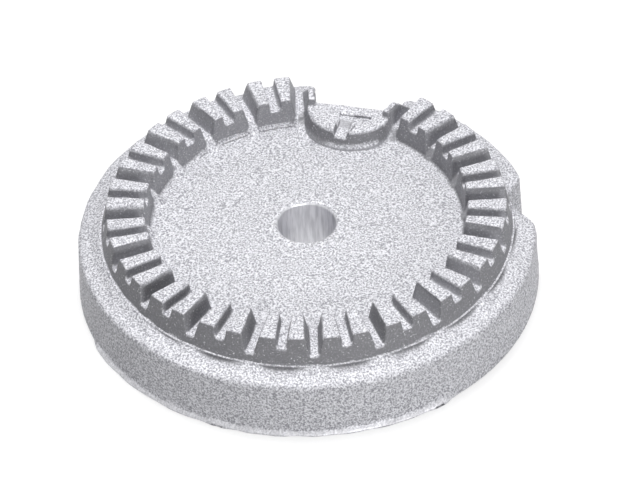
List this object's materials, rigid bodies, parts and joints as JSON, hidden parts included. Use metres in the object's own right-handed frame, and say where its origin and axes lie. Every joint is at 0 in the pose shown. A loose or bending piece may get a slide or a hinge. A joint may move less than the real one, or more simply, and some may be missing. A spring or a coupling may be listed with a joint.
{
  "type": "gas burner crown",
  "caption": "Cast aluminium crown of a gas hob burner: a ring of flame ports on a skirted plate with a central venturi bore, an igniter notch and a sensor recess.",
  "frame": {"origin": "on the axis of the venturi bore, in the plane of the skirt's seating edge", "axes": "+Z along the bore towards the flame ports, +Y through the middle of the igniter notch"},
  "size_m": [0.0762, 0.0754, 0.016],
  "materials": {
    "cast_aluminium": "bead-blasted die-cast aluminium, pale matt grey with a fine grain"
  },
  "bodies": {
    "root": {"burner_crown": "cast_aluminium"}
  },
  "joints": []
}
